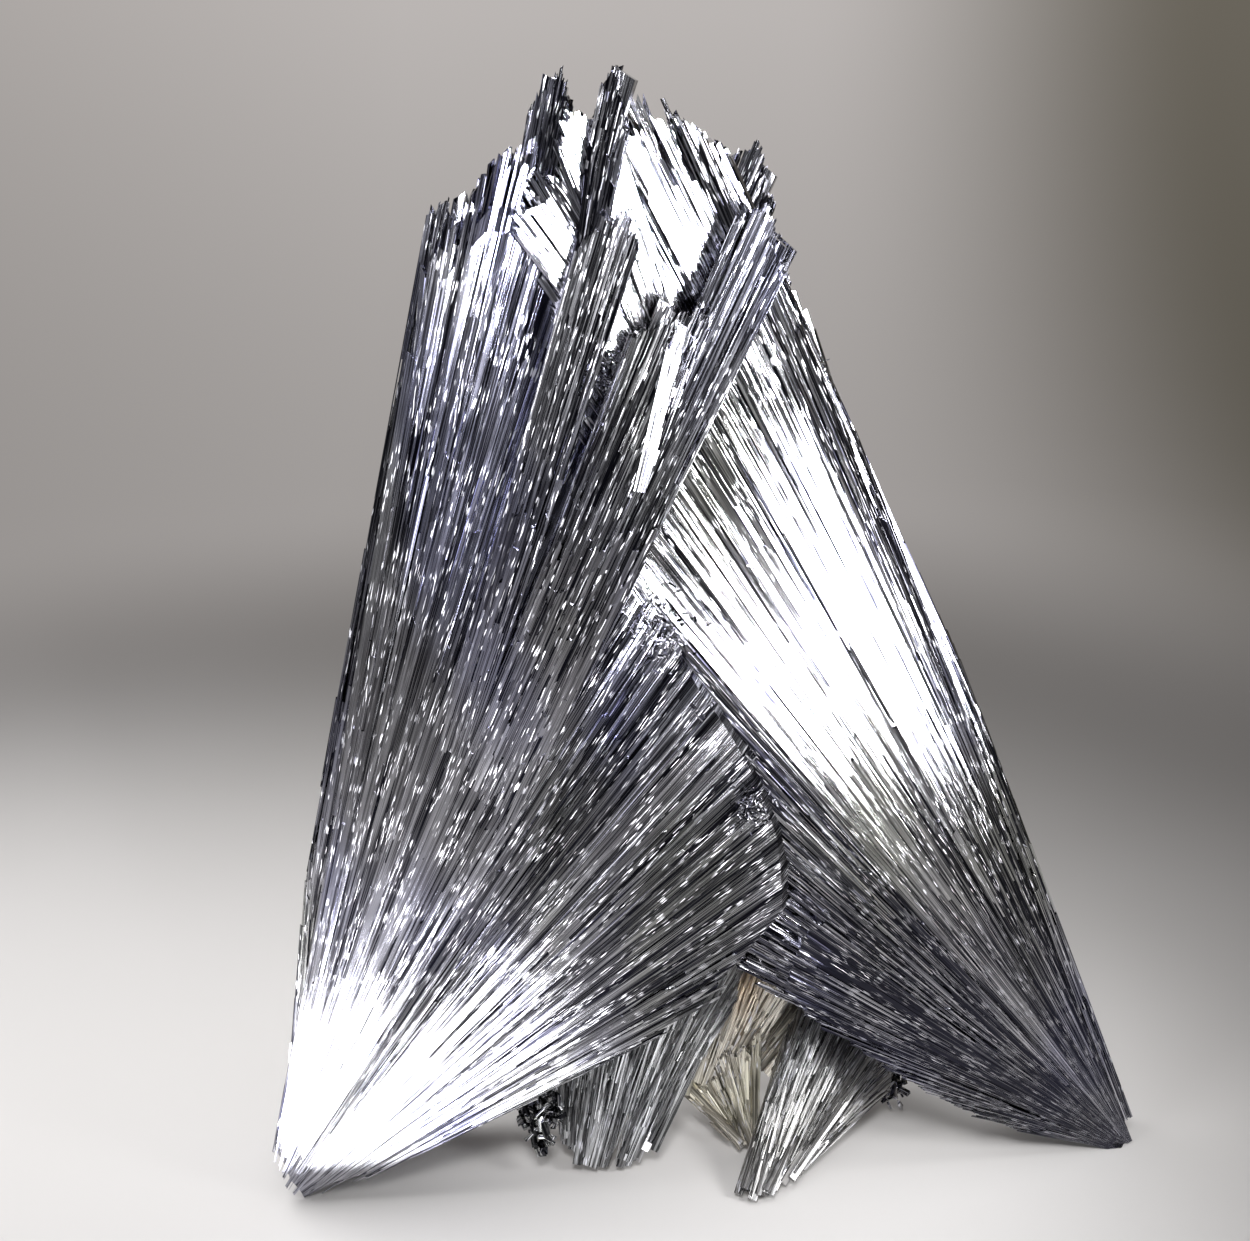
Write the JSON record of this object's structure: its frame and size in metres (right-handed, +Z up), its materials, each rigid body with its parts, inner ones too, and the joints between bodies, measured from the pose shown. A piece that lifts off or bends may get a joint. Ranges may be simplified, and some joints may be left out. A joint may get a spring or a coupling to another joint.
{
  "type": "stibnite crystal spray",
  "caption": "Stibnite specimen: flat fans of metallic bladed crystals crossed in an A shape, with small needle sprays hanging under the crossing",
  "frame": {"origin": "on the surface it stands on, under the middle of its bounding box", "axes": "+Z up; the flat fans face -Y and +Y; +X runs from the left fan's root to the right fan's root, seen from -Y"},
  "size_m": [0.0628, 0.018, 0.0747],
  "materials": {
    "left_fan": "metallic lead-grey stibnite, finely striated along the blades, with faint blue and olive streaks",
    "right_fan": "bright metallic stibnite, striated along the blades, mirror-like on its cleavage faces",
    "lower_sprays": "duller grey metallic needles",
    "stained_crystals": "grey needles stained tan and brown"
  },
  "bodies": {
    "root": {"left_fan": "left_fan", "right_fan": "right_fan", "lower_left_spray": "lower_sprays", "lower_right_spray": "lower_sprays", "stained_crystals": "stained_crystals"}
  },
  "joints": []
}
